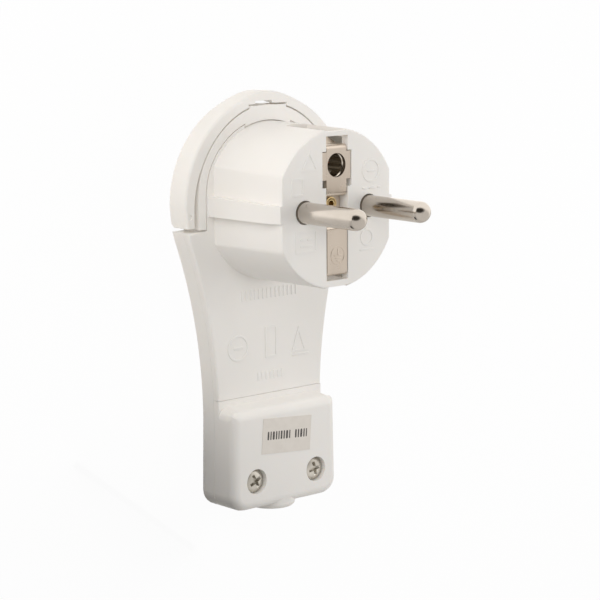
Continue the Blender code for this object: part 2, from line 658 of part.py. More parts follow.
def pull_handle():
    """The hinged bow, with a trunnion on each arm and a nail notch inside its top."""
    bm = prism(handle_outline(), 0, HANDLE_DEPTH)
    rims = edges_at(bm, 2, 0) + edges_at(bm, 2, HANDLE_DEPTH)
    outer = [e for e in rims if all(v.co.xy.length > HANDLE_OUTER - GAP for v in e.verts)]
    round_edges(bm, outer, HANDLE_EDGE)
    part = make("pull_handle", bm, WHITE)
    for label, side in SIDES:
        inner_end = RING_INNER + GAP / 2
        reach = RING_RADIUS + HANDLE_GAP + HANDLE_EASE + WALL / 2 - inner_end
        place = (side * inner_end, PIVOT_Y, PIVOT_Z)
        add(part, "trunnion_" + label, thin_rod(TRUNNION_RADIUS, reach, place, outward(side)))
    cut(part, "end_round", end_corner())
    low, high = -WALL, HANDLE_DEPTH + WALL
    relief = rectangle(-RELIEF_HALF, RELIEF_HALF, RING_RADIUS, RING_RADIUS + RELIEF_RISE)
    cut(part, "relief", prism(relief, low, high))
    lean = (NOTCH_RIGHT_BACK - NOTCH_RIGHT_FRONT) * WALL / HANDLE_DEPTH
    right_low, right_high = NOTCH_RIGHT_BACK + lean, NOTCH_RIGHT_FRONT - lean
    notch = [(NOTCH_LEFT, low), (right_low, low), (right_high, high), (NOTCH_LEFT, high)]
    cut(part, "nail_notch", prism(notch, RING_RADIUS, RING_RADIUS + NOTCH_RISE, "Y"))
    for label, side in SIDES:
        place = (side * (HANDLE_OUTER - DIMPLE_EDGE), PIVOT_Y, HANDLE_DEPTH - DIMPLE_DEPTH)
        cut(part, "dimple_" + label, thin_rod(DIMPLE_RADIUS, WALL, place))
    return part


def end_corner():
    """What is cut off the arms' back corner, so that it turns clear of the ledge."""
    far = HANDLE_END_RADIUS + WALL
    round_end = arc(PIVOT_Y, PIVOT_Z, HANDLE_END_RADIUS, -90, -180, 8)
    outside = [(PIVOT_Y - far, PIVOT_Z), (PIVOT_Y - far, PIVOT_Z - far), (PIVOT_Y, PIVOT_Z - far)]
    return prism(round_end + outside, -HANDLE_OUTER - WALL, HANDLE_OUTER + WALL, "X")


def contact_pin(name, x):
    """A turned pin: round tip, shank, collar behind the face and a barrel for the wire."""
    end = FACE_Z + PIN_REACH
    tip = arc(0, end - PIN_RADIUS, PIN_RADIUS, 0, 90, 6)[:-1] + [(0, end)]
    barrel = [(PIN_BARREL_RADIUS - PIN_CHAMFER, PIN_BACK), (PIN_BARREL_RADIUS, PIN_BACK + PIN_CHAMFER),
              (PIN_BARREL_RADIUS, PIN_BARREL_TOP)]
    collar = [(PIN_COLLAR_RADIUS, PIN_BARREL_TOP), (PIN_COLLAR_RADIUS, PIN_COLLAR_TOP)]
    profile = barrel + collar + [(PIN_RADIUS, PIN_COLLAR_TOP)] + tip
    part = make(name, lathe(profile, (x, 0, 0)), NICKEL)
    cut(part, "wire_hole", rod(WIRE_HOLE_RADIUS, 2 * WIRE_HOLE_DEPTH, (x, 0, PIN_BACK - WIRE_HOLE_DEPTH)))
    screw_place = (x, 0, PIN_BACK + TERMINAL_SCREW_RISE)
    cut(part, "screw_hole", thin_rod(SMALL_SHANK_RADIUS + GAP, 2 * PIN_BARREL_RADIUS, screw_place, "Y"))
    return part


def screw(name, centre, axis, head_radius, head_height, shank_radius, length, crossed):
    """A screw whose head sits on centre; the axis points from its tip to its head."""
    dome = head_height / 2
    head = [(head_radius * math.cos(turn), dome + dome * math.sin(turn))
            for turn in (0, math.radians(30), math.radians(60))]
    shank = [(shank_radius / 2, -length), (shank_radius, -length + shank_radius), (shank_radius, 0)]
    profile = shank + [(head_radius, 0)] + head + [(0, head_height)]
    part = make(name, lathe(profile, centre, axis, SCREW_STEPS), STEEL)
    reach = CROSS_REACH * head_radius if crossed else 2 * head_radius
    half = SLOT_SHARE * head_radius
    for blade in (0, 90) if crossed else (0,):
        slot = prism(rectangle(-reach, reach, -half, half), SLOT_FLOOR * head_height, 2 * head_height)
        swivel = Matrix.Rotation(math.radians(blade) + SLOT_TURN, 4, "Z")
        place = Matrix.Translation(centre) @ facing(axis) @ swivel
        bmesh.ops.transform(slot, matrix=place, verts=slot.verts)
        cut(part, "slot_%d" % blade, slot)
    return part


def bent(points, radius):
    """A path through the points with each inner corner turned by an arc of this radius."""
    path = [Vector(points[0])]
    for before, corner, after in zip(points, points[1:], points[2:]):
        corner = Vector(corner)
        way_in = (Vector(before) - corner).normalized()
        way_out = (Vector(after) - corner).normalized()
        half = way_in.angle(way_out) / 2
        back = radius / math.tan(half)
        centre = corner + (way_in + way_out).normalized() * (radius / math.sin(half))
        start = corner + way_in * back - centre
        end = corner + way_out * back - centre
        sweep = start.angle_signed(end)
        path += [centre + Matrix.Rotation(-sweep * i / 4, 2) @ start for i in range(5)]
    return path + [Vector(points[-1])]


def ribbon(path, thickness):
    """The outline of a strip of this thickness along a path."""
    sides = ([], [])
    for i, point in enumerate(path):
        way_in = (path[i] - path[max(i - 1, 0)]).normalized() if i else None
        way_out = (path[i + 1] - path[i]).normalized() if i + 1 < len(path) else None
        heading = ((way_in or way_out) + (way_out or way_in)).normalized()
        across = Vector((-heading.y, heading.x))
        lean = heading.dot(way_in or way_out)
        for side, sign in zip(sides, (1, -1)):
            side.append(tuple(point + across * (sign * thickness / 2 / lean)))
    return sides[0] + sides[1][::-1]


def stepped_plate(side, root, top_z, step_y, low_z, end_y):
    """Outline of an earth plate: side spring, the run along the face, and the step back to the rivet."""
    spring = [(side * SPRING_END, top_z - SPRING_LENGTH), (side * SPRING_CROWN, top_z - SPRING_DROP),
              (side * root, top_z - SPRING_DROP / 3), (side * root, top_z)]
    step = [(step_y, top_z), (step_y, low_z), (end_y, low_z)]
    return ribbon(bent(spring + step, BEND_RADIUS), STRIP_THICK)


def earth_strip():
    """Lower earth strip: side spring, the run up the channel, and the low end under the rivet."""
    end_y = RIVET_Y + RIVET_HEAD + GAP
    outline = stepped_plate(-1, STRIP_ROOT, STRIP_Z, STRIP_STEP_Y, STRIP_LOW_Z, end_y)
    part = make("earth_strip", prism(outline, -STRIP_HALF, STRIP_HALF, "X"), NICKEL)
    cut(part, "rivet_hole", through_strip(RIVET_RADIUS + GAP / 2, RIVET_Y, STRIP_LOW_Z))
    return part


def through_strip(radius, y, z):
    """A hole through a strip whose middle lies at this height."""
    return thin_rod(radius, 4 * STRIP_THICK, (0, y, z - 2 * STRIP_THICK))


def earth_socket_plate():
    """Upper earth plate: side spring, the winged plate with the socket hole, and the riveted end."""
    end_y = RIVET_Y - RIVET_HEAD - GAP
    outline = stepped_plate(1, PLATE_ROOT, SOCKET_PLATE_Z, PLATE_STEP_Y, STEP_Z, end_y)
    part = make("earth_socket_plate", prism(outline, -STRIP_HALF, STRIP_HALF, "X"), NICKEL)
    half = RECESS_HALF - WING_EDGE_GAP
    wing = rectangle(-half, half, WING_LOW, RECESS_HIGH - WING_EDGE_GAP)
    wing_half = STRIP_THICK / 2 - WING_THIN
    add(part, "wings", prism(wing, SOCKET_PLATE_Z - wing_half, SOCKET_PLATE_Z + wing_half))
    hole_low = (0, EARTH_HOLE_Y, SOCKET_PLATE_Z - 2 * STRIP_THICK)
    cut(part, "socket_hole", rod(EARTH_HOLE_RADIUS, 4 * STRIP_THICK, hole_low))
    cut(part, "rivet_hole", through_strip(RIVET_RADIUS + GAP / 2, RIVET_Y, STEP_Z))
    return part


def earth_socket_sleeve():
    """The split sleeve behind the earth hole that grips the earth pin of the wall socket."""
    top = SOCKET_PLATE_Z - STRIP_THICK / 2 - GAP
    inner = EARTH_HOLE_RADIUS
    outer = inner + SLEEVE_WALL
    flange = outer + SLEEVE_WALL
    low = top - SLEEVE_LENGTH
    profile = [(inner, low), (outer, low), (outer, top - SLEEVE_WALL), (flange, top - SLEEVE_WALL),
               (flange, top), (inner, top), (inner, low)]
    part = make("earth_socket_sleeve", lathe(profile, (0, EARTH_HOLE_Y, 0)), NICKEL)
    for turn in (0, 90):
        strip = rectangle(-2 * outer, 2 * outer, -SLEEVE_SLIT / 2, SLEEVE_SLIT / 2)
        slit = prism(strip, low - WALL, low + SLEEVE_SLIT_LENGTH)
        place = Matrix.Translation((0, EARTH_HOLE_Y, 0)) @ Matrix.Rotation(math.radians(turn + 45), 4, "Z")
        bmesh.ops.transform(slit, matrix=place, verts=slit.verts)
        cut(part, "slit_%d" % turn, slit)
    return part


def earth_rivet():
    """The brass eyelet that joins plate, strip and terminal through the channel floor."""
    top = STEP_Z + STRIP_THICK / 2 + GAP / 2
    low = TAB_TOP - TERMINAL_TAB - GAP / 2
    head = RIVET_HEAD_THICK
    lower = [(RIVET_HOLE, low - head), (RIVET_HEAD, low - head), (RIVET_HEAD, low), (RIVET_RADIUS, low)]
    upper = [(RIVET_RADIUS, top), (RIVET_HEAD, top), (RIVET_HEAD - head / 2, top + head),
             (RIVET_HOLE, top + head)]
    return make("earth_rivet", lathe(lower + upper + lower[:1], (0, RIVET_Y, 0), "Z", SCREW_STEPS), BRASS)


def earth_terminal():
    """The earth terminal: a riveted tab and a block with a wire hole and a screw hole."""
    low_y = TERMINAL_HIGH_Y - TERMINAL_LENGTH
    tab = rectangle(-STRIP_HALF, STRIP_HALF, low_y, RIVET_Y + RIVET_HEAD + GAP)
    part = make("earth_terminal", prism(tab, TAB_TOP - TERMINAL_TAB, TAB_TOP), BRASS)
    block = rectangle(-TERMINAL_HALF, TERMINAL_HALF, low_y + GAP, TERMINAL_HIGH_Y)
    add(part, "block", prism(block, TAB_TOP - TERMINAL_HEIGHT, TAB_TOP - TERMINAL_TAB / 2))
    middle = TERMINAL_HIGH_Y - TERMINAL_LENGTH / 2
    wire_z = TAB_TOP - TERMINAL_HEIGHT / 2
    cut(part, "rivet_hole", through_strip(RIVET_RADIUS + GAP / 2, RIVET_Y, TAB_TOP - TERMINAL_TAB / 2))
    wire_place = (0, low_y - WALL, wire_z)
    cut(part, "wire_hole", thin_rod(TERMINAL_WIRE_RADIUS, TERMINAL_LENGTH + 2 * WALL, wire_place, "Y"))
    screw_place = (0, middle, wire_z - TERMINAL_HEIGHT)
    cut(part, "screw_hole", thin_rod(SMALL_SHANK_RADIUS + GAP, TERMINAL_HEIGHT, screw_place))
    return part


def contact_retainer():
    """The inner plate, screwed to two bosses, that holds the pins and lets the cores pass."""
    radius = FOOT_RADIUS - BODY_WALL - 4 * GAP
    half = FLAT_HALF - BODY_WALL - 2 * GAP
    angle_low = math.degrees(math.acos(half / radius))
    angle_high = math.degrees(math.asin(RETAINER_HALF_Y / radius))
    quarter = arc(0, 0, radius, angle_high, angle_low, 4)
    outline = mirrored(quarter + [(x, -y) for x, y in reversed(quarter)])
    part = make("contact_retainer", prism(outline, RETAINER_BACK, RETAINER_TOP), INNER_WHITE)
    low = RETAINER_BACK - WALL
    through = RETAINER_THICK + 2 * WALL
    inner = PIN_BARREL_RADIUS + GAP
    outer = inner + CUP_WALL
    height = RETAINER_THICK / 2 + RETAINER_CUP
    for label, side in SIDES:
        x = side * PIN_SPACING / 2
        cup = [(inner, 0), (outer, 0), (outer, height), (inner, height), (inner, 0)]
        cup_place = (x, 0, RETAINER_TOP - RETAINER_THICK / 2)
        add(part, "cup_" + label, lathe(cup, cup_place, "Z", SCREW_STEPS))
        cut(part, "wire_way_" + label, thin_rod(WIRE_HOLE_RADIUS + GAP, through, (x, 0, low)))
        place = (side * BOSS_OFFSET, side * BOSS_OFFSET, low)
        cut(part, "screw_way_" + label, thin_rod(SMALL_SHANK_RADIUS + GAP, through, place))
    window_half = TERMINAL_HALF + GAP
    window_low = TERMINAL_HIGH_Y - TERMINAL_LENGTH - GAP
    window = rectangle(-window_half, window_half, window_low, TERMINAL_HIGH_Y + GAP)
    cut(part, "terminal_way", prism(window, low, low + through))
    return part


def clamp_bar():
    """The arched bar that holds the cable down between its two screws."""
    mid = CLAMP_POST_TOP + GAP + CLAMP_BAR_THICK / 2
    half = [(CLAMP_BAR_HALF, mid), (CLAMP_ARCH_HALF + CLAMP_ARCH, mid), (CLAMP_ARCH_HALF, mid + CLAMP_ARCH)]
    path = [Vector(point) for point in half + [(-x, z) for x, z in reversed(half)]]
    low = CLAMP_Y - CLAMP_BAR_WIDTH / 2
    bar = prism(ribbon(path, CLAMP_BAR_THICK), low, low + CLAMP_BAR_WIDTH, "Y")
    part = make("cord_clamp_bar", bar, INNER_WHITE)
    for label, side in SIDES:
        place = (side * CLAMP_SCREW_X, CLAMP_Y, mid - 2 * CLAMP_BAR_THICK)
        cut(part, "screw_hole_" + label, thin_rod(SMALL_SHANK_RADIUS + GAP, 4 * CLAMP_BAR_THICK, place))
    return part


def small_screw(name, centre, axis, length):
    return screw(name, centre, axis, SMALL_HEAD_RADIUS, SMALL_HEAD_HEIGHT, SMALL_SHANK_RADIUS,
                 length, False)


def cover_screw(name, x):
    return screw(name, (x, COVER_SCREW_Y, COVER_HEAD_UNDER), "Z", COVER_HEAD_RADIUS, COVER_HEAD_HEIGHT,
                 COVER_SHANK_RADIUS, COVER_SCREW_LENGTH, True)


def build():
    for old in list(bpy.data.objects):
        bpy.data.objects.remove(old)
    rear_cover()
    front_housing()
    cable_cover()
    handle = pull_handle()
    pivot = bpy.data.objects.new("handle_pivot", None)
    bpy.context.scene.collection.objects.link(pivot)
    pivot.location = (0, PIVOT_Y, PIVOT_Z)
    handle.parent = pivot
    handle.location = (0, -PIVOT_Y, -PIVOT_Z)
    earth_strip()
    earth_socket_plate()
    earth_socket_sleeve()
    earth_rivet()
    earth_terminal()
    contact_retainer()
    clamp_bar()
    bar_top = CLAMP_POST_TOP + CLAMP_BAR_THICK + 2 * GAP
    for label, side in SIDES:
        contact_pin("pin_" + label, side * PIN_SPACING / 2)
        seat = (side * PIN_SPACING / 2, PIN_BARREL_RADIUS + GAP, PIN_BACK + TERMINAL_SCREW_RISE)
        small_screw("terminal_screw_" + label, seat, "Y", PIN_BARREL_RADIUS - WIRE_HOLE_RADIUS + GAP)
        cover_screw("cover_screw_" + label, side * COVER_SCREW_X)
        clamp_place = (side * CLAMP_SCREW_X, CLAMP_Y, bar_top)
        small_screw("cord_clamp_screw_" + label, clamp_place, "Z", bar_top - FLOOR - 2 * GAP)
        boss_place = (side * BOSS_OFFSET, side * BOSS_OFFSET, RETAINER_BACK - GAP)
        small_screw("retainer_screw_" + label, boss_place, "-Z", BOSS_HOLE_DEPTH)
    block_end = (0, TERMINAL_HIGH_Y - TERMINAL_LENGTH / 2, TAB_TOP - TERMINAL_HEIGHT - GAP)
    small_screw("earth_terminal_screw", block_end, "-Z", TERMINAL_HEIGHT / 2 - TERMINAL_WIRE_RADIUS + GAP)


build()
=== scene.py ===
"""Looks of the flat earthed mains plug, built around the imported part."""

import math

import bmesh
import bpy
from mathutils import Matrix, Vector


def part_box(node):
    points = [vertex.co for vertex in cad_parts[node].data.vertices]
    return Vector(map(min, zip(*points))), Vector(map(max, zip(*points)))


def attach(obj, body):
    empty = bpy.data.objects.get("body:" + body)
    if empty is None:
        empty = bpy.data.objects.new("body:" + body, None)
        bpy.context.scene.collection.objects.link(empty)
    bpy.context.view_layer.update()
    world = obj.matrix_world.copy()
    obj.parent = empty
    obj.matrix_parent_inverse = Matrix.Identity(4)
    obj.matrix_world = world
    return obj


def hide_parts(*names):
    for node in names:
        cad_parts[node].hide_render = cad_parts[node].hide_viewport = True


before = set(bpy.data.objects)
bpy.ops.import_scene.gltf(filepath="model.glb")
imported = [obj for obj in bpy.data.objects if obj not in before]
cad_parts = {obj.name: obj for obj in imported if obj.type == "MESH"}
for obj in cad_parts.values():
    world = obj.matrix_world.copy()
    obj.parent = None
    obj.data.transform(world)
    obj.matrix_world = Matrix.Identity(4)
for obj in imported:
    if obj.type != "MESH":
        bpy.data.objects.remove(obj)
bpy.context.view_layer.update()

MM = 0.001
NEAR = 0.002 * MM

# Camera of the photograph, round the middle of the face
FACE_Z = 29.8 * MM
CAMERA_AZIMUTH = math.radians(40.94)
CAMERA_ELEVATION = math.radians(9.57)
CAMERA_ROLL = math.radians(-0.39)
CAMERA_DISTANCE = 478.44 * MM
CAMERA_RIGHT = -8.29 * MM
CAMERA_UP = -20.20 * MM
CAMERA_LENS = 129.17
SENSOR_WIDTH = 36
CLIP_START = 10 * MM

# Lamps
AIM = Vector((0, -20 * MM, 15 * MM))
LAMP_COLOUR = (1, 0.99, 0.98)
UPPER_LEFT_PLACE = (-150 * MM, 90 * MM, 90 * MM)
UPPER_LEFT_SIZE = 140 * MM
UPPER_LEFT_POWER = 0.15
RIGHT_PLACE = (140 * MM, 0, 140 * MM)
RIGHT_SIZE = 130 * MM
RIGHT_POWER = 0.12

# Warmth of the greys that metal sees
WARM_GREEN = 0.97
WARM_BLUE = 0.93

# Light tent: its even light, and what metal sees of its wall and its dark opening
EVEN_COLOUR = (1, 0.99, 0.97, 1)
EVEN_STRENGTH = 0.478
WALL_STRENGTH = 1.38
WALL_LEAN = -0.6
WALL_SHIFT = 0.5
WALL_STOPS = ((0.35, 0.60), (0.80, 1.0))
OPENING_COLOUR = (0.03, 0.027, 0.022, 1)
OPENING_ACROSS = (1.22, 0.12)
OPENING_ALONG = (2.1, -0.55)
OPENING_EDGE = (0.75, 1.1)
BEHIND_PUSH = 2.0

# Pale floor, with its dark patch and its view in metal
FLOOR_HALF = 2.0
FLOOR_DROP = 0.05 * MM
FLOOR_GLOW = 0.96
FLOOR_OWN = (0.9, 0.9, 0.9, 1)
PATCH_PLACE = (-25 * MM, -70 * MM, 0)
PATCH_EDGE = (13 * MM, 29 * MM)
PATCH_STOPS = ((0.0, 0.02), (1.0, 0.9))
BAND_REACH = (-60 * MM, 40 * MM)
BAND_STOPS = ((0.0, 0.50), (0.45, 0.64), (0.65, 1.0), (1.0, 0.95))
BAND_STRENGTH = 1.4

# Dark board that shades the cord block's left side
BOARD_SIZE = (42 * MM, 1.5 * MM, 28 * MM)
BOARD_PLACE = Vector((-35 * MM, -68 * MM, 14 * MM))
BOARD_TURN = math.radians(-38)
BOARD_COLOUR = (0.02, 0.02, 0.02, 1)

# Finishes
CREASE_ANGLE = math.radians(35)
FLAT_ANGLE = math.radians(0.5)
CLOUD_SPREAD = (0.35, 0.65)
GLOSS_SPREAD = (0.3, 0.7)
SKIN_RADII = (1.0, 0.8, 0.6)
SKIN_DEPTH = 0.8 * MM
# Warm colour of the painted glow: the white plastic emits a little light of its own, as if lit from
# within its skin
PAINTED_GLOW_COLOUR = (1, 0.93, 0.80, 1)

# Shells
STEM_Z = 6.2 * MM
PARTING_Z = 4.5 * MM
SEAM_Y = -45.2 * MM
STEM_HALF = 15.6 * MM
COVER_Z = 11.8 * MM
HALF_GAP = 0.125 * MM
PARTING_CLOSE = 0.09 * MM
SEAM_GAP = 0.25 * MM
SEAM_CLOSE = 0.15 * MM
SHELL_EASE = 0.18 * MM
CORNER = 2.8 * MM
CORNER_LOW = SEAM_Y - SEAM_GAP - 1.0 * MM - CORNER
CORNER_LEAN = 0.9 * MM
CORNER_LEAN_Z = STEM_Z + 3 * MM
CORNER_POWER = 5
CORNER_SHARES = (0.1, 1.02)

# Raised marks
MARK_RISE = 0.15 * MM
MARK_SINK = 0.02 * MM
RIM_ANGLE = 0.5
RIM_SHARE = 0.4
BAR_GAP = 0.7
STROKE_HALF = 0.25
OUTLINE_WIDTH = 0.45 * MM

# Contact pins
PIN_X = 9.5 * MM
PIN_RADIUS = 2.4 * MM
PIN_SHOULDER_Z = FACE_Z - 2.25 * MM
PIN_BORE_RADIUS = 1.6 * MM
PIN_BORE_DEPTH = 6.5 * MM
PIN_BARREL_RADIUS = 3.1 * MM
PIN_BARREL_EDGE = 0.2 * MM
PIN_COLLAR_RADIUS = 3.6 * MM
PIN_COLLAR_HEIGHT = 1.8 * MM
PIN_COLLAR_EDGE = 0.15 * MM

# Cover screws
SCREW_X = 9.048 * MM
SCREW_Y = -64.17 * MM
HEAD_RADIUS = 2.78 * MM
HEAD_HEIGHT = 1.3 * MM
HEAD_CROWN = 0.3 * MM
HEAD_WALL = 0.55 * MM
SHANK_RADIUS = 1.25 * MM
SHANK_TIP_RADIUS = 0.6 * MM
CROSS_SIZE = (5.6 * MM, 0.95 * MM, 2.4 * MM)
CROSS_FOOT = (0.35, 0.8, 1)
CROSS_RAISED = 0.1 * MM
CROSS_TURNS = {"left": 28, "right": 12}

# Earth contacts
EARTH_HOLE_Y = 9.8 * MM
EARTH_HOLE_RADIUS = 2.7 * MM
SLEEVE_WALL = 0.4 * MM
SLEEVE_CLOSING = 1.1 * MM
SLEEVE_STRAIGHT = 4 * MM
SLEEVE_FLANGE = 0.6 * MM
SLEEVE_FLANGE_HEIGHT = 0.45 * MM
SLEEVE_LIP = 0.2 * MM
SLIT_SIZE = (12 * MM, 0.7 * MM, 9 * MM)
SLIT_RISE = 3 * MM
RIVET_Y = 1.0 * MM
RIVET_BORE = 0.76 * MM
RIVET_FOOT_RADIUS = 1.5 * MM
RIVET_FOOT_HEIGHT = 0.4 * MM
RIVET_TUBE_RADIUS = 1.2 * MM
ROLL_CENTRE = 1.14 * MM
ROLL_RADIUS = 0.42 * MM
ROLL_DROP = 0.2 * MM
EARTH_MARK_PLACE = Vector((0.2 * MM, -10.4 * MM, FACE_Z - 0.06 * MM))
EARTH_MARK_RISE = 0.08 * MM
EARTH_MARK_RADIUS = 2.15 * MM
EARTH_MARK_STEM = 0.75 * MM
EARTH_MARK_LINE = 0.15 * MM
EARTH_MARK_STEP = 0.62 * MM
EARTH_MARK_BARS = (1.2 * MM, 0.8 * MM, 0.4 * MM)

# Label on the cable cover
LABEL_PLACE = Vector((0.08 * MM, -54.4 * MM, COVER_Z))
LABEL_TURN = math.radians(-4.5)
LABEL_HALF = (7.35 * MM, 4.15 * MM)
LABEL_LIFT = 0.005 * MM
LABEL_THICKNESS = 0.09 * MM
INK_START = -5.9
INK_WIDTHS = (0.5, 0.35, 0.6, 0.4, 0.35, 0.5, 0.4, 0.6, 0.35, 0.5, 0.4, 0.6, 0.4, 0.35)
INK_GAP = 0.36
INK_GROUP_GAP = 1.1
INK_SECOND_GROUP = 9
INK_PLACE = (0.05 * MM, 0.085 * MM)
INK_HALF_HEIGHT = 1.0 * MM
INK_THICKNESS = 0.02 * MM


# Studio

def camera_back():
    """The direction from the plug to the camera."""
    level = math.cos(CAMERA_ELEVATION)
    return Vector((-math.sin(CAMERA_AZIMUTH) * level, math.sin(CAMERA_ELEVATION),
                   math.cos(CAMERA_AZIMUTH) * level))


def camera_axes():
    """The camera's directions to the right, up and backwards."""
    back = camera_back()
    level = Vector((0, 1, 0)).cross(back).normalized()
    right = Matrix.Rotation(CAMERA_ROLL, 3, back) @ level
    return right, back.cross(right), back


def photo_camera():
    """The camera of the photograph."""
    right, up, back = camera_axes()
    place = back * CAMERA_DISTANCE + right * CAMERA_RIGHT + up * CAMERA_UP
    place += Vector((0, 0, FACE_Z))
    data = bpy.data.cameras.new("photo_camera")
    data.lens = CAMERA_LENS
    data.sensor_width = SENSOR_WIDTH
    data.clip_start = CLIP_START
    camera = bpy.data.objects.new("photo_camera", data)
    bpy.context.scene.collection.objects.link(camera)
    turn = Matrix((right, up, back)).transposed().to_4x4()
    camera.matrix_world = Matrix.Translation(place) @ turn
    bpy.context.scene.camera = camera


def soft_light(name, place, size, power):
    """A square area lamp that looks at the middle of the plug."""
    data = bpy.data.lights.new(name, "AREA")
    data.shape = "SQUARE"
    data.size = size
    data.energy = power
    data.color = LAMP_COLOUR
    lamp = bpy.data.objects.new(name, data)
    lamp.visible_glossy = False
    bpy.context.scene.collection.objects.link(lamp)
    lamp.location = place
    lamp.rotation_euler = (AIM - lamp.location).to_track_quat("-Z", "Y").to_euler()


def node_maker(tree):
    """A shorthand that adds a node with settings and inputs; sockets are linked, values set."""
    def node(kind, inputs=(), **settings):
        made = tree.nodes.new("ShaderNode" + kind)
        for name, value in settings.items():
            setattr(made, name, value)
        for slot, value in dict(inputs).items():
            if isinstance(value, bpy.types.NodeSocket):
                tree.links.new(value, made.inputs[slot])
            else:
                made.inputs[slot].default_value = value
        return made
    return node


def warm_ramp(node, value, stops):
    """A ramp of greys, a little warm, over a value."""
    made = node("ValToRGB", {"Fac": value})
    given = made.color_ramp.elements
    for number, (position, grey) in enumerate(stops):
        stop = given[number] if number < 2 else given.new(position)
        stop.position = position
        stop.color = (grey, WARM_GREEN * grey, WARM_BLUE * grey, 1)
    return made.outputs["Color"]


def map_range(node, value, reach):
    """A value of 0 at one end of a reach and 1 at the other."""
    low, high = reach
    made = node("MapRange", {"Value": value, "From Min": low, "From Max": high})
    return made.outputs["Result"]


def light_tent():
    """Even light all round; metal sees the tent's wall and its dark opening by the camera."""
    world = bpy.data.worlds.new("light_tent")
    world.use_nodes = True
    world.node_tree.nodes.clear()
    node = node_maker(world.node_tree)
    place = node("TexCoord").outputs["Generated"]
    right, up, back = [
        node("VectorMath", {0: place, 1: axis}, operation="DOT_PRODUCT").outputs["Value"]
        for axis in camera_axes()]

    def stretched(value, factor, push):
        return node("Math", {0: value, 1: factor, 2: push}, operation="MULTIPLY_ADD").outputs[0]

    height = stretched(back, WALL_LEAN, up)
    shifted = node("Math", {0: height, 1: WALL_SHIFT}, operation="ADD").outputs[0]
    wall = warm_ramp(node, shifted, WALL_STOPS)
    across, along = stretched(right, *OPENING_ACROSS), stretched(up, *OPENING_ALONG)
    flat = node("CombineXYZ", {"X": across, "Y": along}).outputs["Vector"]
    reach = node("VectorMath", {0: flat}, operation="LENGTH").outputs["Value"]
    behind = node("Math", {0: back, 1: 0.0}, operation="LESS_THAN").outputs[0]
    far = stretched(behind, BEHIND_PUSH, reach)
    edge = map_range(node, far, OPENING_EDGE)
    opening = node("RGB")
    opening.outputs[0].default_value = OPENING_COLOUR
    mixed = node("MixRGB", {"Fac": edge, "Color1": opening.outputs[0], "Color2": wall})
    seen = node("Background", {"Color": mixed.outputs["Color"], "Strength": WALL_STRENGTH})
    even = node("Background", {"Color": EVEN_COLOUR, "Strength": EVEN_STRENGTH})
    glossy = node("LightPath").outputs["Is Glossy Ray"]
    choice = node("MixShader", {0: glossy, 1: even.outputs[0], 2: seen.outputs[0]})
    node("OutputWorld", {"Surface": choice.outputs[0]})
    bpy.context.scene.world = world


def stage_piece(name, bm, look):
    """Something of the studio that is not part of the plug."""
    mesh = bpy.data.meshes.new(name)
    bm.to_mesh(mesh)
    bm.free()
    mesh.materials.append(look)
    made = bpy.data.objects.new(name, mesh)
    bpy.context.scene.collection.objects.link(made)
    return made


def studio():
    bpy.context.scene.view_settings.view_transform = "Standard"
    light_tent()
    soft_light("upper_left_lamp", UPPER_LEFT_PLACE, UPPER_LEFT_SIZE, UPPER_LEFT_POWER)
    soft_light("right_lamp", RIGHT_PLACE, RIGHT_SIZE, RIGHT_POWER)
    bm = bmesh.new()
    bmesh.ops.create_grid(bm, x_segments=1, y_segments=1, size=FLOOR_HALF)
    bmesh.ops.translate(bm, vec=(0, 0, -FLOOR_DROP), verts=bm.verts)
    stage_piece("pale_floor", bm, floor_look())
    dark_flag()


def dark_flag():
    """A board beside the cord block, out of the camera's sight, that shades its left side."""
    bm = bmesh.new()
    bmesh.ops.create_cube(bm, size=1)
    bmesh.ops.scale(bm, vec=BOARD_SIZE, verts=bm.verts)
    settle(bm, BOARD_PLACE, BOARD_TURN)
    cloth = bpy.data.materials.new("flag_cloth")
    cloth.use_nodes = True
    shader = cloth.node_tree.nodes["Principled BSDF"]
    shader.inputs["Base Color"].default_value = BOARD_COLOUR
    shader.inputs["Roughness"].default_value = 0.9
    stage_piece("dark_flag", bm, cloth).visible_camera = False


def floor_look():
    """White to the camera, with a little of the plug's shadow left in it.

    Metal sees a band beside the body that is brighter than the floor lower down. A dark
    patch shades the block's left side.
    """
    made = bpy.data.materials.new("floor_paper")
    made.use_nodes = True
    made.node_tree.nodes.clear()
    node = node_maker(made.node_tree)
    place = node("TexCoord").outputs["Object"]
    ray = node("LightPath").outputs
    off_patch = node("VectorMath", {0: place, 1: PATCH_PLACE}, operation="DISTANCE")
    near = map_range(node, off_patch.outputs["Value"], PATCH_EDGE)
    paper = node("BsdfDiffuse", {"Color": warm_ramp(node, near, PATCH_STOPS)}).outputs[0]
    height = node("SeparateXYZ", {0: place}).outputs["Y"]
    band = warm_ramp(node, map_range(node, height, BAND_REACH), BAND_STOPS)
    metal_view = node("Emission", {"Color": band, "Strength": BAND_STRENGTH}).outputs[0]
    own = node("BsdfDiffuse", {"Color": FLOOR_OWN}).outputs[0]
    glow = node("Emission", {"Color": (1, 1, 1, 1)}).outputs[0]
    camera_view = node("MixShader", {0: FLOOR_GLOW, 1: own, 2: glow}).outputs[0]
    unseen = node("MixShader", {0: ray["Is Glossy Ray"], 1: paper, 2: metal_view}).outputs[0]
    seen = node("MixShader", {0: ray["Is Camera Ray"], 1: unseen, 2: camera_view}).outputs[0]
    node("OutputMaterial", {"Surface": seen})
    return made


# Finishes

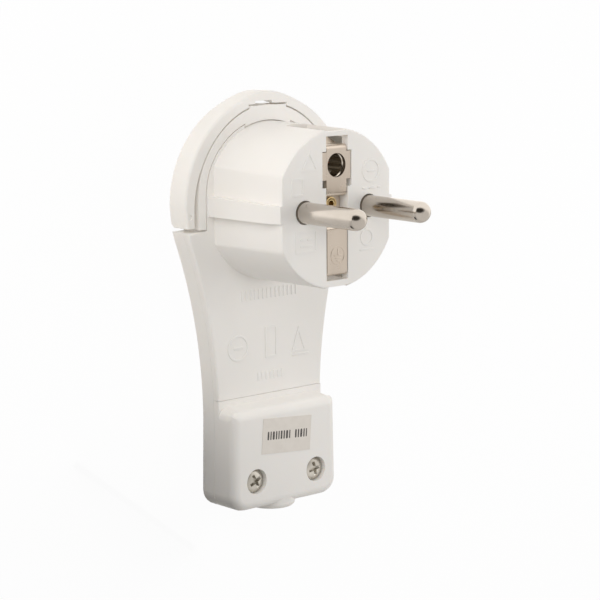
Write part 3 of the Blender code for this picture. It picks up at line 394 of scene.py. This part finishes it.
class Look:
    """A material whose nodes all read the object's own coordinates."""

    def __init__(self, name, metal, roughness):
        self.made = bpy.data.materials.new(name)
        self.made.use_nodes = True
        self.nodes = self.made.node_tree.nodes
        self.links = self.made.node_tree.links
        self.shader = self.nodes["Principled BSDF"]
        self.shader.inputs["Metallic"].default_value = metal
        self.shader.inputs["Roughness"].default_value = roughness
        self.place = self.nodes.new("ShaderNodeTexCoord")

    def noise(self, scale, stretch=(1, 1, 1), detail=3):
        turn = self.nodes.new("ShaderNodeMapping")
        turn.inputs["Scale"].default_value = stretch
        cloud = self.nodes.new("ShaderNodeTexNoise")
        cloud.inputs["Scale"].default_value = scale
        cloud.inputs["Detail"].default_value = detail
        self.links.new(self.place.outputs["Object"], turn.inputs["Vector"])
        self.links.new(turn.outputs["Vector"], cloud.inputs["Vector"])
        return cloud.outputs["Fac"]

    def colours(self, fac, low, high):
        blend = self.nodes.new("ShaderNodeValToRGB")
        for stop, position, colour in zip(blend.color_ramp.elements, CLOUD_SPREAD, (low, high)):
            stop.position = position
            stop.color = (*colour, 1)
        self.links.new(fac, blend.inputs["Fac"])
        self.links.new(blend.outputs["Color"], self.shader.inputs["Base Color"])

    def roughness(self, fac, low, high):
        spread = self.nodes.new("ShaderNodeMapRange")
        spread.inputs["From Min"].default_value = GLOSS_SPREAD[0]
        spread.inputs["From Max"].default_value = GLOSS_SPREAD[1]
        spread.inputs["To Min"].default_value = low
        spread.inputs["To Max"].default_value = high
        self.links.new(fac, spread.inputs["Value"])
        self.links.new(spread.outputs["Result"], self.shader.inputs["Roughness"])

    def bump(self, fac, height, strength=1.0):
        relief = self.nodes.new("ShaderNodeBump")
        relief.inputs["Distance"].default_value = height
        relief.inputs["Strength"].default_value = strength
        self.links.new(fac, relief.inputs["Height"])
        self.links.new(relief.outputs["Normal"], self.shader.inputs["Normal"])


def moulded_plastic(name, low, high, roughness, glow=0.0):
    """Moulded plastic: slow drifts of tone, uneven gloss, a little light scattered in its skin, and
    a painted glow: a weak warm emission of its own.
    """
    look = Look(name, 0.0, roughness)
    look.colours(look.noise(60), low, high)
    look.roughness(look.noise(350), roughness - 0.05, roughness + 0.07)
    look.bump(look.noise(2200, detail=1), 0.004 * MM, 0.6)
    look.shader.inputs["Subsurface Weight"].default_value = glow
    look.shader.inputs["Subsurface Radius"].default_value = SKIN_RADII
    look.shader.inputs["Subsurface Scale"].default_value = SKIN_DEPTH
    # Painted glow: a weak warm emission, a third of the skin weight, makes the plastic give off
    # light of its own
    look.shader.inputs["Emission Color"].default_value = PAINTED_GLOW_COLOUR
    look.shader.inputs["Emission Strength"].default_value = glow / 3
    return look.made


def turned_metal(name, low, high, roughness):
    """Turned and plated: fine rings across the pin's length under a soft polish."""
    look = Look(name, 1.0, roughness)
    look.colours(look.noise(120), low, high)
    look.roughness(look.noise(500, (0.3, 0.3, 6)), roughness - 0.03, roughness + 0.06)
    look.bump(look.noise(700, (0.15, 0.15, 8), 2), 0.002 * MM, 0.5)
    return look.made


def rolled_metal(name, low, high, roughness, grain=(1, 0.06, 0.06)):
    """Rolled sheet: a fine grain along the strip and cloudy tones."""
    look = Look(name, 1.0, roughness)
    look.colours(look.noise(180, (1, 0.4, 1), 4), low, high)
    look.roughness(look.noise(420), roughness - 0.05, roughness + 0.08)
    look.bump(look.noise(4500, grain, 2), 0.003 * MM, 0.5)
    return look.made


def label_paper():
    look = Look("label_paper", 0.0, 0.6)
    look.colours(look.noise(500, detail=4), (0.815, 0.765, 0.705), (0.85, 0.80, 0.74))
    look.roughness(look.noise(800), 0.52, 0.66)
    look.bump(look.noise(5000, detail=2), 0.004 * MM, 0.5)
    return look.made


def label_ink():
    look = Look("label_ink", 0.0, 0.5)
    look.colours(look.noise(2500, detail=4), (0.05, 0.045, 0.045), (0.12, 0.11, 0.105))
    look.roughness(look.noise(1500), 0.4, 0.6)
    return look.made


# Pieces

def placed(name, bm, look, body="plug_body", replaces=()):
    """A finished piece: outward normals, smooth sides with sharp creases, its body and its node."""
    bmesh.ops.recalc_face_normals(bm, faces=bm.faces)
    mesh = bpy.data.meshes.new(name)
    bm.to_mesh(mesh)
    bm.free()
    mesh.shade_smooth()
    mesh.set_sharp_from_angle(angle=CREASE_ANGLE)
    mesh.materials.append(look)
    piece = bpy.data.objects.new(name, mesh)
    bpy.context.scene.collection.objects.link(piece)
    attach(piece, body)
    if replaces:
        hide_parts(*replaces)
    return piece


def eased(piece, width, segments=2, angle=30):
    """Rounds a piece's creases and evens its shading."""
    piece.data.shade_smooth()
    rounding = piece.modifiers.new("rounding", "BEVEL")
    rounding.width = width
    rounding.segments = segments
    rounding.limit_method = "ANGLE"
    rounding.angle_limit = math.radians(angle)
    even = piece.modifiers.new("even_shading", "WEIGHTED_NORMAL")
    even.weight = 60
    even.keep_sharp = False


def spun(profile, centre, steps):
    """A turned shape from (radius, height) points."""
    bm = bmesh.new()
    points = [bm.verts.new((radius, 0, height)) for radius, height in profile]
    edges = [bm.edges.new(pair) for pair in zip(points, points[1:])]
    bmesh.ops.spin(bm, geom=points + edges, axis=(0, 0, 1), cent=(0, 0, 0),
                   angle=2 * math.pi, steps=steps, use_merge=True)
    bmesh.ops.remove_doubles(bm, verts=bm.verts, dist=NEAR)
    bmesh.ops.translate(bm, vec=centre, verts=bm.verts)
    return bm


def quarter(x, z, radius, start, end, steps):
    """Points of a rounded corner in a turning profile, from one angle to the other."""
    turns = [math.radians(start + (end - start) * i / steps) for i in range(steps + 1)]
    return [(x + radius * math.cos(turn), z + radius * math.sin(turn)) for turn in turns]


def merged_copy(node):
    """A copy of a node's mesh with its loose triangles joined and its flat faces whole."""
    bm = bmesh.new()
    bm.from_mesh(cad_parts[node].data)
    bmesh.ops.remove_doubles(bm, verts=bm.verts, dist=NEAR)
    bmesh.ops.dissolve_limit(bm, angle_limit=FLAT_ANGLE, verts=bm.verts, edges=bm.edges)
    return bm


def shift_level(bm, axis, level, step):
    """Moves the points of one flat level, to narrow a joint as the real one is."""
    row = [v for v in bm.verts if abs(v.co[axis] - level) < NEAR]
    push = [0, 0, 0]
    push[axis] = step
    bmesh.ops.translate(bm, vec=push, verts=row)


def square_corners(bm):
    """Draws the raised cover's two upper corners out to a tighter curve."""
    for v in bm.verts:
        low = CORNER_LOW - (CORNER_LEAN if v.co.z > CORNER_LEAN_Z else 0)
        across = abs(v.co.x) - (STEM_HALF - CORNER)
        along = v.co.y - low
        share = math.hypot(across, along) / CORNER
        if min(across, along) < NEAR or v.co.z < STEM_Z + NEAR:
            continue
        if not CORNER_SHARES[0] <= share <= CORNER_SHARES[1]:
            continue
        turn = math.atan2(along, across)
        power = CORNER_POWER
        grow = (math.cos(turn) ** power + math.sin(turn) ** power) ** (-1 / power)
        v.co.x = math.copysign(STEM_HALF - CORNER + across * grow, v.co.x)
        v.co.y = low + along * grow


def shells():
    """The four white mouldings, with their joints as narrow as the real ones."""
    # The shells' glow of 0.15 sets both the light scattered in their skin and their painted glow
    white = moulded_plastic("warm_white_plastic", (0.855, 0.834, 0.806),
                            (0.875, 0.854, 0.830), 0.36, 0.15)
    body = merged_copy("front_housing")
    shift_level(body, 2, PARTING_Z + HALF_GAP, -PARTING_CLOSE)
    back = merged_copy("rear_cover")
    shift_level(back, 2, PARTING_Z - HALF_GAP, PARTING_CLOSE)
    cover = merged_copy("cable_cover")
    shift_level(cover, 2, PARTING_Z + HALF_GAP, -PARTING_CLOSE)
    shift_level(cover, 1, SEAM_Y - SEAM_GAP, SEAM_CLOSE)
    square_corners(cover)
    handle = merged_copy("pull_handle")
    for name, bm, node, carrier in (
            ("pin_body", body, "front_housing", "plug_body"),
            ("back_shell", back, "rear_cover", "plug_body"),
            ("cord_cover", cover, "cable_cover", "plug_body"),
            ("bow_handle", handle, "pull_handle", "handle")):
        eased(placed(name, bm, white, carrier, (node,)), SHELL_EASE)
    raised_marks(white)


# Raised marks in the moulding

def pill(centre, half_x, half_y, rise=MARK_RISE, turn=0.0):
    """A raised bar or plate with round ends, along its longer side."""
    radius = min(half_x, half_y)
    bm = bmesh.new()
    bmesh.ops.create_circle(bm, cap_ends=True, radius=radius, segments=24)
    spread = max(half_x, half_y) - radius
    axis = 0 if half_x > half_y else 1
    for sign in (-1, 1):
        end = [v for v in bm.verts if v.co[axis] * sign > NEAR]
        push = [0, 0, 0]
        push[axis] = sign * spread
        bmesh.ops.translate(bm, vec=push, verts=end)
    raise_faces(bm, rise)
    settle(bm, centre, turn)
    return bm


def lift_faces(bm, rise):
    """Draws a flat shape up to its height."""
    grown = bmesh.ops.extrude_face_region(bm, geom=bm.faces[:])["geom"]
    upper = [v for v in grown if isinstance(v, bmesh.types.BMVert)]
    bmesh.ops.translate(bm, vec=(0, 0, rise), verts=upper)


def raise_faces(bm, rise):
    """Draws a flat shape up to its height and rounds its upper rim."""
    lift_faces(bm, rise)
    level = [e for e in bm.edges if all(abs(v.co.z - rise) < NEAR for v in e.verts)]
    rim = [e for e in level if len(e.link_faces) == 2 and abs(e.calc_face_angle(0)) > RIM_ANGLE]
    bmesh.ops.bevel(bm, geom=rim, offset=RIM_SHARE * rise, offset_type="OFFSET", segments=2,
                    profile=0.5, affect="EDGES", clamp_overlap=True, material=-1)


def settle(bm, centre, turn=0.0):
    """Turns a shape about Z and takes it to its place."""
    place = Matrix.Translation(centre) @ Matrix.Rotation(turn, 4, "Z")
    bmesh.ops.transform(bm, matrix=place, verts=bm.verts)


def ring_mark(centre, radius, width=0.5 * MM, rise=MARK_RISE):
    """A raised ring with eased rims."""
    inner, edge = radius - width, 0.3 * rise
    profile = [(radius, -rise), (radius, rise - edge), (radius - edge, rise), (inner + edge, rise),
               (inner, rise - edge), (inner, -rise), (radius, -rise)]
    return spun(profile, centre, 40)


def outline_mark(centre, half_x, half_y, corners=4):
    """A raised outline of a plain figure with this many corners."""
    square = corners == 4
    bm = bmesh.new()
    bmesh.ops.create_circle(bm, cap_ends=True, radius=math.sqrt(2) if square else 1.0,
                            segments=corners)
    if square:
        eighth = Matrix.Rotation(math.pi / 4, 3, "Z")
        bmesh.ops.rotate(bm, cent=(0, 0, 0), matrix=eighth, verts=bm.verts)
    bmesh.ops.scale(bm, vec=(half_x, half_y, 1), verts=bm.verts)
    bmesh.ops.inset_region(bm, faces=bm.faces[:], thickness=OUTLINE_WIDTH,
                           use_boundary=True, use_even_offset=True)
    middle = min(bm.faces, key=lambda f: max(v.co.length for v in f.verts))
    bmesh.ops.delete(bm, geom=[middle], context="FACES_ONLY")
    lift_faces(bm, MARK_RISE)
    settle(bm, centre)
    return bm


def raised_marks(white):
    """Plain raised figures where the real moulding carries its marks, in millimetres."""
    face, stem = FACE_Z - MARK_SINK, STEM_Z - MARK_SINK
    marks = []

    def ring(x, y, z, radius):
        marks.append(ring_mark((x * MM, y * MM, z), radius * MM))

    def figure(x, y, z, half_x, half_y, corners=4):
        marks.append(outline_mark((x * MM, y * MM, z), half_x * MM, half_y * MM, corners))

    def bars(left, y, z, widths, height):
        for width in widths:
            centre = ((left + width / 2) * MM, y * MM, z)
            marks.append(pill(centre, width / 2 * MM, height / 2 * MM))
            left += width + BAR_GAP

    def strokes(left, y, z, count, step, height):
        for number in range(count):
            centre = ((left + number * step) * MM, y * MM, z)
            marks.append(pill(centre, STROKE_HALF * MM, height / 2 * MM))

    figure(-8.1, 10.5, face, 2.9, 3.1, corners=3)
    figure(-11.6, 5.7, face, 1.8, 2.0)
    figure(-9.2, -6.5, face, 3.1, 2.5)
    bars(-11.0, -6.0, face, (1.4, 1.6), 0.6)
    bars(-11.0, -7.4, face, (3.6,), 0.6)
    ring(10.2, 7.9, face, 2.7)
    bars(8.9, 7.9, face, (2.6,), 0.7)
    bars(7.6, 4.0, face, (1.2, 2.0, 0.9), 0.6)
    ring(8.9, -7.1, face, 2.0)
    bars(6.7, -9.9, face, (4.3,), 0.5)
    strokes(-8.2, -21.6, stem, 14, 1.25, 2.5)
    ring(-9.6, -33.6, stem, 3.1)
    bars(-11.0, -33.6, stem, (2.8,), 0.8)
    figure(0.3, -33.2, stem, 1.8, 3.7)
    figure(8.8, -34.6, stem, 2.6, 4.0, corners=3)
    bars(6.6, -37.3, stem, (5.4,), 0.6)
    strokes(-3.6, -41.0, stem, 7, 1.2, 2.0)
    for number, bm in enumerate(marks):
        placed("raised_mark_%02d" % number, bm, white)


# Metal

def contact_pins():
    nickel = turned_metal("nickel_pin_finish", (0.54, 0.495, 0.445), (0.60, 0.555, 0.505), 0.17)
    bore, barrel, collar = PIN_BORE_RADIUS, PIN_BARREL_RADIUS, PIN_COLLAR_RADIUS
    shoulder = PIN_SHOULDER_Z
    for label, side in (("left", -1), ("right", 1)):
        low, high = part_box("pin_" + label)
        back, end = low[2], high[2]
        profile = [(0, back + PIN_BORE_DEPTH), (bore, back + PIN_BORE_DEPTH), (bore, back),
                   (barrel - PIN_BARREL_EDGE, back), (barrel, back + PIN_BARREL_EDGE),
                   (barrel, shoulder - PIN_COLLAR_HEIGHT), (collar, shoulder - PIN_COLLAR_HEIGHT),
                   (collar, shoulder - PIN_COLLAR_EDGE), (collar - PIN_COLLAR_EDGE, shoulder),
                   (PIN_RADIUS, shoulder)]
        tip = quarter(0, end - PIN_RADIUS, PIN_RADIUS, 0, 90, 14)[:-1] + [(0, end)]
        bm = spun(profile + tip, (side * PIN_X, 0, 0), 72)
        placed("contact_pin_" + label, bm, nickel,
               replaces=("pin_" + label,))


def cut_away(piece, bm):
    """Takes a shape out of a piece for good."""
    mesh = bpy.data.meshes.new("cutter")
    bmesh.ops.recalc_face_normals(bm, faces=bm.faces)
    bm.to_mesh(mesh)
    bm.free()
    cutter = bpy.data.objects.new("cutter", mesh)
    bpy.context.scene.collection.objects.link(cutter)
    cutting = piece.modifiers.new("cut", "BOOLEAN")
    cutting.operation = "DIFFERENCE"
    cutting.solver = "EXACT"
    cutting.object = cutter
    bpy.context.view_layer.update()
    graph = bpy.context.evaluated_depsgraph_get()
    result = bpy.data.meshes.new_from_object(piece.evaluated_get(graph))
    piece.modifiers.clear()
    piece.data = result
    bpy.data.objects.remove(cutter)


def cover_screws():
    steel = turned_metal("zinc_screw_finish", (0.40, 0.38, 0.335), (0.74, 0.71, 0.65), 0.32)
    for label, side in (("left", -1), ("right", 1)):
        low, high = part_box("cover_screw_" + label)
        under, top = high[2] - HEAD_HEIGHT, high[2] + HEAD_CROWN
        wall = under + HEAD_WALL
        turns = [math.radians(angle) for angle in range(12, 85, 12)]
        shank = [(0, low[2]), (SHANK_TIP_RADIUS, low[2]), (SHANK_RADIUS, low[2] + SHANK_RADIUS),
                 (SHANK_RADIUS, under)]
        dome = [(HEAD_RADIUS * math.cos(turn), wall + (top - wall) * math.sin(turn))
                for turn in turns]
        profile = shank + [(HEAD_RADIUS, under), (HEAD_RADIUS, wall)] + dome + [(0, top)]
        bm = spun(profile, (side * SCREW_X, SCREW_Y, 0), 56)
        piece = placed("cross_screw_" + label, bm, steel,
                       replaces=("cover_screw_" + label,))
        for blade in (0, 90):
            arm = bmesh.new()
            bmesh.ops.create_cube(arm, size=1)
            bmesh.ops.scale(arm, vec=CROSS_SIZE, verts=arm.verts)
            foot = [v for v in arm.verts if v.co.z < 0]
            bmesh.ops.scale(arm, vec=CROSS_FOOT, verts=foot)
            turn = math.radians(blade + CROSS_TURNS[label])
            settle(arm, (side * SCREW_X, SCREW_Y, top + CROSS_RAISED), turn)
            cut_away(piece, arm)
        eased(piece, 0.06 * MM, 2, 40)


def earth_contacts(brass):
    nickel = rolled_metal("nickel_sheet_finish", (0.62, 0.545, 0.47), (0.68, 0.60, 0.52), 0.30)
    for name, node in (("upper_earth_plate", "earth_socket_plate"),
                       ("lower_earth_strip", "earth_strip")):
        piece = placed(name, merged_copy(node), nickel, replaces=(node,))
        eased(piece, 0.09 * MM, 2)
    earth_sleeve()
    earth_eyelet(brass)
    earth_symbol(nickel)


def earth_sleeve():
    """The sleeve under the earth hole, whose four leaves close a little at their lower ends."""
    nickel = turned_metal("nickel_sleeve_finish", (0.70, 0.64, 0.56), (0.78, 0.72, 0.63), 0.20)
    low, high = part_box("earth_socket_sleeve")
    foot, top = low[2], high[2]
    inner, outer = EARTH_HOLE_RADIUS, EARTH_HOLE_RADIUS + SLEEVE_WALL
    under = top - SLEEVE_FLANGE_HEIGHT
    bend = top - SLEEVE_STRAIGHT
    profile = [(inner - SLEEVE_CLOSING, foot), (outer - SLEEVE_CLOSING, foot), (outer, bend),
               (outer, under), (outer + SLEEVE_FLANGE, under), (outer + SLEEVE_FLANGE, top),
               (inner + SLEEVE_LIP, top), (inner, top - SLEEVE_LIP), (inner, bend),
               (inner - SLEEVE_CLOSING, foot)]
    sleeve = placed("earth_sleeve", spun(profile, (0, EARTH_HOLE_Y, 0), 48), nickel,
                    replaces=("earth_socket_sleeve",))
    for turn in (45, 135):
        slit = bmesh.new()
        bmesh.ops.create_cube(slit, size=1)
        bmesh.ops.scale(slit, vec=SLIT_SIZE, verts=slit.verts)
        settle(slit, (0, EARTH_HOLE_Y, foot + SLIT_RISE), math.radians(turn))
        cut_away(sleeve, slit)
    eased(sleeve, 0.06 * MM, 2, 40)


def earth_eyelet(brass):
    """The eyelet that joins both plates, with its upper rim rolled over."""
    low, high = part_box("earth_rivet")
    foot, top = low[2], high[2]
    step = foot + RIVET_FOOT_HEIGHT
    tube = [(RIVET_BORE, foot), (RIVET_FOOT_RADIUS, foot), (RIVET_FOOT_RADIUS, step),
            (RIVET_TUBE_RADIUS, step), (RIVET_TUBE_RADIUS, top - RIVET_FOOT_HEIGHT)]
    roll = [(radius, min(height, top)) for radius, height
            in quarter(ROLL_CENTRE, top - ROLL_DROP, ROLL_RADIUS, -20, 200, 10)]
    placed("earth_eyelet", spun(tube + roll + tube[:1], (0, RIVET_Y, 0), 48), brass,
           replaces=("earth_rivet",))


def earth_symbol(nickel):
    """The common earth mark pressed up in the lower strip."""
    centre, rise, line = EARTH_MARK_PLACE, EARTH_MARK_RISE, EARTH_MARK_LINE
    ring = ring_mark(centre, EARTH_MARK_RADIUS, 0.35 * MM, rise)
    placed("earth_mark_ring", ring, nickel)
    middle = centre + Vector((0, EARTH_MARK_STEM, 0))
    stem = pill(middle, line, EARTH_MARK_STEM, rise)
    placed("earth_mark_stem", stem, nickel)
    for number, half in enumerate(EARTH_MARK_BARS):
        middle = centre - Vector((0, EARTH_MARK_STEP * number, 0))
        bar = pill(middle, half, line, rise)
        placed("earth_mark_bar_%d" % number, bar, nickel)


# Label

def batch_label():
    """The paper label, with plain bars in place of its print."""
    paper, ink = label_paper(), label_ink()
    bm = bmesh.new()
    bmesh.ops.create_grid(bm, x_segments=12, y_segments=6, size=1)
    bmesh.ops.scale(bm, vec=(*LABEL_HALF, 1), verts=bm.verts)
    lift_faces(bm, LABEL_THICKNESS)
    settle(bm, LABEL_PLACE + Vector((0, 0, LABEL_LIFT)), LABEL_TURN)
    placed("batch_label", bm, paper)
    turn = Matrix.Rotation(LABEL_TURN, 4, "Z")
    left = INK_START
    for number, width in enumerate(INK_WIDTHS):
        if number == INK_SECOND_GROUP:
            left += INK_GROUP_GAP
        place = LABEL_PLACE + turn @ Vector(((left + width / 2) * MM, *INK_PLACE))
        bar = pill(place, width / 2 * MM, INK_HALF_HEIGHT, INK_THICKNESS, LABEL_TURN)
        placed("label_bar_%02d" % number, bar, ink)
        left += width + INK_GAP


# Pieces inside

def hidden_nodes(brass):
    """Finishes for the pieces inside, which keep their shapes."""
    plain = moulded_plastic("inner_plastic_finish", (0.78, 0.765, 0.73), (0.81, 0.80, 0.77), 0.5)
    steel = turned_metal("inner_screw_finish", (0.50, 0.49, 0.47), (0.60, 0.59, 0.57), 0.32)
    inner = {"contact_retainer": plain, "cord_clamp_bar": plain, "earth_terminal": brass}
    for name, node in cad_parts.items():
        look = inner.get(name)
        if name.endswith(("screw", "screw_left", "screw_right")):
            look = steel
        if look:
            for material_slot in node.material_slots:
                material_slot.link = "OBJECT"
                material_slot.material = look


# The whole plug in its studio

photo_camera()
studio()
shells()
contact_pins()
cover_screws()
brass_look = turned_metal("brass_finish", (0.84, 0.62, 0.30), (0.92, 0.71, 0.38), 0.22)
earth_contacts(brass_look)
hidden_nodes(brass_look)
batch_label()
